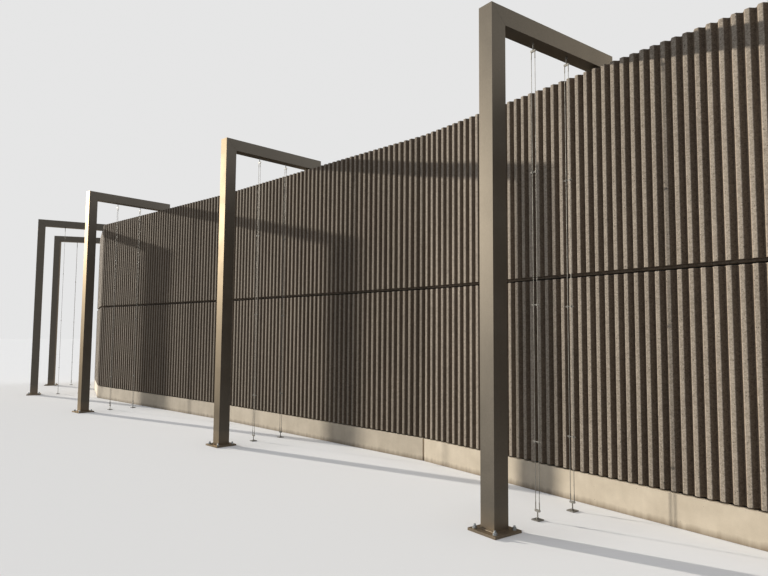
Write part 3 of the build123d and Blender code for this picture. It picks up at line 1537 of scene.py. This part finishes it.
@dataclass(frozen=True, kw_only=True)
class Fastener:
    """A threaded rod end with its nut and washer, or a hexagon-headed screw.

    Attributes:
        across_flats: The width of the nut or the head.
        nut_height: The height of the nut or the head.
        washer: The washer's diameter.
        washer_thickness: The washer's thickness.
        diameter: The thread's diameter.
        pitch: The distance from one thread to the next.
        stand: How far the rod stands out of its nut, or 0 for a screw.
    """

    across_flats: float
    nut_height: float
    washer: float
    washer_thickness: float
    diameter: float = 0.0
    pitch: float = 0.0
    stand: float = 0.0

    def build(self, name: str) -> Piece:
        """Models the fastener on the z axis, upwards from the plate's face at 0.

        Args:
            name: The fastener's name.

        Returns:
            The fastener.
        """
        seat = self.washer_thickness
        top = seat + self.nut_height
        disc = rod(name + "_washer", self.washer / 2, 0, seat, sides=28)
        round_edges(disc, seat / 4)
        nut = rod(name + "_nut", self.across_flats / 2 / cos(pi / 6), seat, top, sides=6)
        with editing(nut):
            for level in (seat, top):
                pick(nut, Pick.VERT, lambda p, z=level: abs(p.z - z) < TOUCH)
                bpy.ops.mesh.bevel(offset=self.across_flats * 0.07, affect="VERTICES")
        round_edges(nut, self.across_flats * 0.012, segments=1, angle=20)
        parts = [disc, nut]
        if self.stand:
            sunk, end = top - 0.001, top + self.stand
            parts.append(thread(name + "_thread", self.diameter, self.pitch, sunk, end))
        return joined(parts, name)


ANCHOR_M20 = Fastener(
    across_flats=0.030, nut_height=0.016, washer=0.037, washer_thickness=0.003, diameter=0.020,
    pitch=0.0025, stand=0.014,
)
SCREW_M12 = Fastener(across_flats=0.018, nut_height=0.0075, washer=0.024, washer_thickness=0.0025)
NUT_M12 = Fastener(across_flats=0.018, nut_height=0.010, washer=0.024, washer_thickness=0.0025)


@dataclass
class ClimbingFrame:
    """The L-shaped frame in front of a bay: its post, its arm, its welds and its fixings.

    Attributes:
        corner_round: The outer radius of the hollow section's corners.
        post_width: The section's width along the wall.
        post_depth: The post's depth.
        foot_top: The top of the foot plate.
        bolt_spacing: The side of the square of foot bolts.
        stub: The width of the bearing's square tube.
        bearing_plate: The bearing plate's thickness.
        screw_reach: How far each of the bearing's screws is from its middle.
    """

    finishes: Finishes
    corner_round: float = 0.003
    post_width: float = 0.150
    post_depth: float = 0.160
    foot_top: float = 0.020
    bolt_spacing: float = 0.220
    stub: float = 0.080
    bearing_plate: float = 0.012
    screw_reach: float = 0.064

    @property
    def bearing_top(self) -> float:
        """The top of the bearing plate."""
        return SIZES.wall_top + self.bearing_plate

    def foot_place(self, bay: Bay) -> Matrix:
        """From the middle of a foot plate's top to the model's coordinates."""
        return bay.frame_place @ shift(0, self.post_depth / 2, self.foot_top)

    def bearing_place(self, bay: Bay) -> Matrix:
        """From below the middle of a bearing, at ground level, to the model's coordinates."""
        behind = bay.standoff + SIZES.absorber_depth + SIZES.slab_thickness / 2
        return bay.frame_place @ shift(0, behind, 0)

    def foot_welds(self) -> Piece:
        """Models the beads round the post's foot, centred on the foot plate's top."""
        return joined(WeldBead().ring(self.post_width, self.post_depth, 0), "foot_weld")

    def bearing_welds(self) -> Piece:
        """Models the beads at both ends of the bearing's tube.

        Returns:
            The beads, centred over the origin.
        """
        small = WeldBead(size=0.0045, ripple=0.008)
        lower = small.ring(self.stub, self.stub, self.bearing_top)
        upper = small.ring(self.stub, self.stub, SIZES.arm_underside)
        return joined(lower + upper, "bearing_weld")

    def foot_bolts(self) -> Piece:
        """Models the four foot bolts.

        Returns:
            The bolts, centred on the foot plate's top.
        """
        half = self.bolt_spacing / 2
        spots = [shift(x, y, 0) for x in (-half, half) for y in (-half, half)]
        return repeated(ANCHOR_M20.build("anchor_pattern"), "foot_bolts", spots)

    def bearing_screws(self) -> Piece:
        """Models the bearing's two screws, centred over the origin."""
        spots = [shift(side * self.screw_reach, 0, self.bearing_top) for side in (-1, 1)]
        return repeated(SCREW_M12.build("screw_pattern"), "bearing_screws", spots)

    def build(self, bays: list[Bay]) -> None:
        """Models the frame of every bay.

        Args:
            bays: The bays.
        """
        coated, zinc = self.finishes.coated, self.finishes.galvanised
        welds = self.foot_welds(), self.bearing_welds()
        fixings = self.foot_bolts(), self.bearing_screws()
        for bay in bays:
            for part in ("post", "arm"):
                node = f"frame_{part}_{bay.number}"
                stand_in(node, "coated", coated, Slot.COATED, self.corner_round)
            places = self.foot_place(bay), self.bearing_place(bay)
            for name, patterns, finish, slot in (
                ("weld_beads", welds, coated, Slot.COATED),
                ("frame_fixings", fixings, zinc, Slot.GALVANISED),
            ):
                copies = [copy_at(pattern, name, spot) for pattern, spot in zip(patterns, places)]
                dress(joined(copies, f"{name}_{bay.number}"), finish, slot)
        for pattern in welds + fixings:
            discard(pattern)


@dataclass
class ClimbingRopes:
    """The stainless ropes under an arm: two sets of two, with their ends, clamps and cross bars.

    Attributes:
        diameter: The rope's diameter.
        lay: The length in which the strands go once round the rope.
        steps_per_lay: How many rings of faces each lay has.
        groove: How far out the grooves between the strands lie, as a share of the radius.
        spacing: The distance between the two ropes of a set.
        sets: How far behind the post's outer face each set hangs.
        cross_levels: The heights of the cross bars.
        foot_yoke: The bottom of the lower yoke.
        yoke_depth: The yoke's depth.
        yoke_height: The yoke's height.
        yoke_overhang: How far the yokes reach past the ropes.
        bar_overhang: How far the cross bars reach past the ropes.
        bar_radius: The cross bars' radius.
        stem: The diameter of the threaded stems.
        stem_pitch: The stems' thread.
        terminal: The length of the pressed sleeves at the ropes' ends.
        terminal_radius: The sleeves' radius.
        ground_plate: The side of the ground plate.
        plate_thickness: The ground plate's thickness.
        plate_corner: The radius of the ground plate's corners.
        sunk: How far stems and ropes run into what holds them.
    """

    finishes: Finishes
    diameter: float = 0.006
    lay: float = 0.064
    steps_per_lay: int = 8
    groove: float = 0.76
    spacing: float = 0.040
    sets: tuple[float, float] = (0.600, 1.070)
    cross_levels: tuple[float, float, float] = (2.980, 1.815, 0.650)
    foot_yoke: float = 0.068
    yoke_depth: float = 0.012
    yoke_height: float = 0.020
    yoke_overhang: float = 0.008
    bar_overhang: float = 0.025
    bar_radius: float = 0.004
    stem: float = 0.012
    stem_pitch: float = 0.0025
    terminal: float = 0.060
    terminal_radius: float = 0.0048
    ground_plate: float = 0.080
    plate_thickness: float = 0.008
    plate_corner: float = 0.008
    sunk: float = 0.001

    @property
    def top_yoke(self) -> float:
        """The bottom of the upper yoke."""
        return SIZES.arm_underside - self.foot_yoke + self.plate_thickness - self.yoke_height

    def strands(self) -> Piece:
        """Models one rope: six strands laid round a core.

        Returns:
            The rope, on the z axis.
        """
        bottom = self.foot_yoke + self.yoke_height - 2 * self.sunk
        top = self.top_yoke + 2 * self.sunk
        bpy.ops.object.select_all(action="DESELECT")
        bpy.ops.mesh.primitive_circle_add(
            vertices=12, radius=self.diameter / 2, location=(0, 0, bottom)
        )
        piece = rename("rope_pattern")
        with editing(piece):
            corners = [v.co.copy() for v in bmesh.from_edit_mesh(piece.data).verts][::2]
            pick(piece, Pick.VERT, lambda p: any((p - c).length < TOUCH for c in corners))
            narrow_picked(self.groove)
        turns = round((top - bottom) / self.lay)
        steps = turns * self.steps_per_lay
        shape_by(
            piece, "SCREW", axis="Z", angle=2 * pi * turns, screw_offset=top - bottom, steps=steps,
            render_steps=steps, use_smooth_shade=True,
        )
        with editing(piece):
            for level in (bottom, top):
                pick(piece, Pick.EDGE, lambda p, z=level: abs(p.z - z) < TOUCH, both=True)
                bpy.ops.mesh.edge_face_add()
            face_outwards()
        return piece

    def terminals(self, bottom: float, crimps: int = 4) -> list[Piece]:
        """Models the sleeves on both ropes' ends, with pressed grooves and chamfered ends.

        Args:
            bottom: The height of their lower ends.
            crimps: How many grooves are pressed into each.

        Returns:
            The two sleeves, in place.
        """
        radius, top = self.terminal_radius, bottom + self.terminal
        pattern = rod("terminal_pattern", radius, bottom, top, sides=14)
        count = 2 * crimps + 1
        step = (top - bottom) / count
        with editing(pattern):
            add_rings(pattern, (bottom + top) / 2, count - 1)
            for k in range(1, count, 2):
                low = bottom + k * step
                pick(
                    pattern, Pick.FACE,
                    lambda p, z=low: z < p.z < z + step and hypot(p.x, p.y) > radius / 2,
                )
                bpy.ops.mesh.inset(thickness=step / 6, use_boundary=False)
                narrow_picked(0.86)
        round_edges(pattern, radius * 0.12, segments=1, angle=35)
        half = self.spacing / 2
        sleeves = [copy_at(pattern, "terminal", shift(x, 0, 0)) for x in (-half, half)]
        discard(pattern)
        return sleeves

    def yoke(self, name: str, bottom: float) -> Piece:
        """Models the flat yoke that spreads both ropes from one stem, with rounded ends.

        Args:
            name: The yoke's name.
            bottom: The height of its underside.

        Returns:
            The yoke, centred over the origin.
        """
        half, deep = self.spacing / 2 + self.yoke_overhang, self.yoke_depth / 2
        piece = box(name, (-half, -deep, bottom), (half, deep, bottom + self.yoke_height))
        with editing(piece):
            pick(piece, Pick.EDGE, lambda p: abs(p.y) < TOUCH and abs(p.x) > half - TOUCH)
            round_picked(self.yoke_height * 0.38, segments=4)
        round_edges(piece, 0.0012, angle=30)
        return piece

    def cross_bar(self, level: float) -> Piece:
        """Models a round cross bar with rounded ends.

        Args:
            level: The bar's height.

        Returns:
            The bar, centred over the origin.
        """
        half = self.spacing / 2 + self.bar_overhang
        piece = rod("cross_bar", self.bar_radius, -half, half, sides=12)
        with editing(piece):
            pick(piece, Pick.FACE, lambda p: abs(p.z) > half - TOUCH)
            bpy.ops.mesh.inset(thickness=0.0012)
        place(piece, shift(0, 0, level) @ Matrix.Rotation(pi / 2, 4, "Y"))
        round_edges(piece, 0.0011, angle=50)
        return piece

    def clamp(self) -> Piece:
        """Models the clamp that holds a cross bar on a rope: two shells, a groove and a screw.

        Returns:
            The clamp, centred on the origin.
        """
        radius, half, groove = 0.0072, 0.010, 0.0015
        body = rod("clamp_body", radius, -half, half, sides=18)
        with editing(body):
            add_rings(body, middle=0, count=4)
            pick(body, Pick.FACE, lambda p: abs(p.z) < groove and hypot(p.x, p.y) > radius / 2)
            narrow_picked(0.9)
        round_edges(body, 0.0008, angle=35)
        screw_radius, seat, head, rim, socket = 0.0032, 0.0065, 0.0098, 0.0014, 0.0018
        screw = rod("clamp_screw", screw_radius, seat, head, sides=14)
        with editing(screw):
            pick(screw, Pick.FACE, lambda p: p.z > head - TOUCH)
            bpy.ops.mesh.inset(thickness=rim)
            bpy.ops.mesh.extrude_region_move(TRANSFORM_OT_translate={"value": (0, 0, -socket)})
        round_edges(screw, 0.0003, segments=1, angle=50)
        place(screw, Matrix.Rotation(pi / 2, 4, "X"))
        return joined([body, screw], "clamp_pattern")

    def plate(self) -> Piece:
        """Models the ground plate, with rounded corners.

        Returns:
            The plate, centred on the origin.
        """
        half, thick = self.ground_plate / 2, self.plate_thickness
        piece = box("ground_plate", (-half, -half, 0), (half, half, thick))
        with editing(piece):
            pick(piece, Pick.EDGE, lambda p: abs(p.z - thick / 2) < TOUCH)
            round_picked(self.plate_corner, segments=4)
        round_edges(piece, 0.001, segments=1, angle=50)
        return piece

    def fittings(self) -> Piece:
        """Models all that is on one pair of ropes but the ropes.

        Returns:
            The fittings, centred over the origin.
        """
        half, thick = self.spacing / 2, self.plate_thickness
        foot, top, arm = self.foot_yoke, self.top_yoke, SIZES.arm_underside
        upper = top + self.yoke_height - self.sunk
        turned_over = shift(0, 0, arm) @ Matrix.Rotation(pi, 4, "X")
        clamps = [shift(x, 0, level) for x in (-half, half) for level in self.cross_levels]
        parts = [
            self.yoke("upper_yoke", top),
            self.yoke("lower_yoke", foot),
            thread("upper_stem", self.stem, self.stem_pitch, upper, arm),
            thread("lower_stem", self.stem, self.stem_pitch, thick, foot + self.sunk),
            self.plate(),
            repeated(NUT_M12.build("nut_pattern"), "stem_nuts", [shift(0, 0, thick), turned_over]),
            repeated(self.clamp(), "clamps", clamps),
            *self.terminals(top - self.terminal),
            *self.terminals(foot + self.yoke_height),
            *(self.cross_bar(level) for level in self.cross_levels),
        ]
        return joined(parts, "fitting_pattern")

    def build(self, bays: list[Bay]) -> None:
        """Models the ropes and fittings of every frame.

        Args:
            bays: The bays.
        """
        rope, fittings = self.strands(), self.fittings()
        half, finish = self.spacing / 2, self.finishes.stainless
        for bay in bays:
            sets = [bay.frame_place @ shift(0, y, 0) for y in self.sets]
            spots = [spot @ shift(x, 0, 0) for spot in sets for x in (-half, half)]
            ropes = [copy_at(rope, "rope", spot) for spot in spots]
            ends = [copy_at(fittings, "fitting", spot) for spot in sets]
            piece = joined(ropes, f"laid_ropes_{bay.number}")
            dress(piece, finish, Slot.STAINLESS, f"climbing_ropes_{bay.number}")
            dress(joined(ends, f"rope_fittings_{bay.number}"), finish, Slot.STAINLESS)
        discard(rope)
        discard(fittings)


# The studio


@dataclass(frozen=True)
class Lamp:
    """A soft distant lamp.

    Attributes:
        heading: Which way its light travels in plan, anticlockwise from +X.
        height: How high above the horizon it stands.
        strength: Its strength.
        width: How wide it looks, which sets how soft its shadows are.
        tint: Its colour.
    """

    name: str
    heading: float
    height: float
    strength: float
    width: float
    tint: str = "#FFFFFF"

    def build(self) -> None:
        """Adds the lamp."""
        data = bpy.data.lights.new(self.name, "SUN")
        data.energy = self.strength
        data.color = linear(self.tint)[:3]
        data.angle = radians(self.width)
        flat = turned(cos(radians(self.height)), 0, self.heading)
        travel = Vector((*flat, -sin(radians(self.height))))
        linked(self.name, data).rotation_euler = travel.to_track_quat("-Z", "Y").to_euler()


@dataclass(frozen=True)
class Studio:
    """A plain pale floor, plain soft light and the photograph's camera.

    Attributes:
        eye: Where the camera stands.
        heading: Which way it looks in plan, anticlockwise from +Y.
        rise: How far it looks up.
        roll: How far it is tilted anticlockwise about its own axis.
        focal_pixels: Its focal length in pixels of a picture photo_width wide.
        lamps: The low key lamp that draws the frames' shadows, and the soft ones.
        sky: What the world gives to all but the rays that show it.
        sky_shown: How pale the world shows.
        floor_lit: The floor's colour in the light that it throws back.
        floor_shown: How pale the floor shows.
    """

    eye: tuple[float, float, float] = (10.170, -5.968, 1.560)
    heading: float = 45.444
    rise: float = 4.178
    roll: float = 0.454
    focal_pixels: float = 618.97
    photo_width: float = 768.0
    sensor_width: float = 36.0
    lamps: tuple[Lamp, ...] = (
        Lamp("key_lamp", heading=13.5, height=12.4, strength=5.6, width=0.9, tint="#FFF9EE"),
        Lamp("fill_lamp", heading=44.0, height=32.0, strength=0.25, width=35.0),
        Lamp("back_lamp", heading=-105.0, height=14.0, strength=1.6, width=40.0),
        Lamp("top_lamp", heading=90.0, height=88.0, strength=1.1, width=20.0),
    )
    sky: Colour = (0.171, 0.19, 0.2242, 1.0)
    sky_shown: Colour = (0.79, 0.79, 0.79, 1.0)
    floor_lit: Colour = (0.30, 0.30, 0.30, 1.0)
    floor_shown: Colour = (0.76, 0.76, 0.76, 1.0)

    def camera(self) -> None:
        """Sets up the camera."""
        data = bpy.data.cameras.new("photo_camera")
        data.sensor_fit = "HORIZONTAL"
        data.sensor_width = self.sensor_width
        data.lens = self.focal_pixels * self.sensor_width / self.photo_width
        data.clip_end = 400.0
        right = Vector((*turned(1, 0, self.heading), 0))
        ahead = Vector((*turned(0, cos(radians(self.rise)), self.heading), sin(radians(self.rise))))
        up = right.cross(ahead)
        c, s = cos(radians(self.roll)), sin(radians(self.roll))
        axes = Matrix((right * c + up * s, up * c - right * s, -ahead)).transposed()
        camera = linked("photo_camera", data)
        camera.matrix_world = Matrix.Translation(self.eye) @ axes.to_4x4()
        bpy.context.scene.camera = camera

    @staticmethod
    def pale_for_the_view(tree: Tree, lit: Colour, shown: Colour) -> Socket:
        """Shows one colour as the background, and lights the object with another.

        Args:
            tree: The floor's or the world's node tree.
            lit: The colour for all other rays.
            shown: The colour for camera, glossy and transmission rays.

        Returns:
            The colour.
        """
        rays = add_node(tree, "LightPath").outputs
        both = combine(tree, "MAXIMUM", rays["Is Camera Ray"], rays["Is Glossy Ray"])
        share = combine(tree, "MAXIMUM", both, rays["Is Transmission Ray"])
        return mixed(tree, share, lit, shown)

    def floor(self) -> None:
        """Lays the floor."""
        bpy.ops.object.select_all(action="DESELECT")
        bpy.ops.mesh.primitive_plane_add(size=240, location=(0, 0, -0.001))
        floor = rename("studio_floor")
        material = bpy.data.materials.new("studio_floor")
        tree = cleared(material)
        colour = self.pale_for_the_view(tree, self.floor_lit, self.floor_shown)
        matt = add_node(tree, "BsdfDiffuse", {"Color": colour})
        add_node(tree, "OutputMaterial", {"Surface": matt.outputs[0]})
        floor.data.materials.append(material)

    def world(self) -> None:
        """Sets up the sky that fills the shadows, which is pale where it shows."""
        world = bpy.data.worlds.new("studio_sky")
        bpy.context.scene.world = world
        tree = cleared(world)
        colour = self.pale_for_the_view(tree, self.sky, self.sky_shown)
        background = add_node(tree, "Background", {"Color": colour})
        add_node(tree, "OutputWorld", {"Surface": background.outputs[0]})

    def build(self) -> None:
        """Sets up the camera, the lamps, the sky and the floor."""
        self.camera()
        for lamp in self.lamps:
            lamp.build()
        self.world()
        self.floor()
        bpy.context.scene.view_settings.view_transform = "Standard"


def main() -> None:
    """Builds the barrier's looks and the studio."""
    logging.basicConfig(level=logging.INFO, format="%(name)s %(message)s")
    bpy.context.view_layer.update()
    Studio().build()
    corners, bays = plan()
    finishes = Finishes.build()
    half = SIZES.row_joint / 2
    low = SIZES.plinth_top + SIZES.foot_joint
    RibbedAbsorber(finishes, low, SIZES.lower_top - half, Row.LOWER).build(bays)
    RibbedAbsorber(finishes, SIZES.lower_top + half, SIZES.wall_top, Row.UPPER).build(bays)
    PrecastBodies(finishes).build(bays)
    Columns(finishes).build(corners)
    Seals(finishes).build(corners, bays)
    ClimbingFrame(finishes).build(bays)
    ClimbingRopes(finishes).build(bays)


if __name__ == "__main__":
    main()
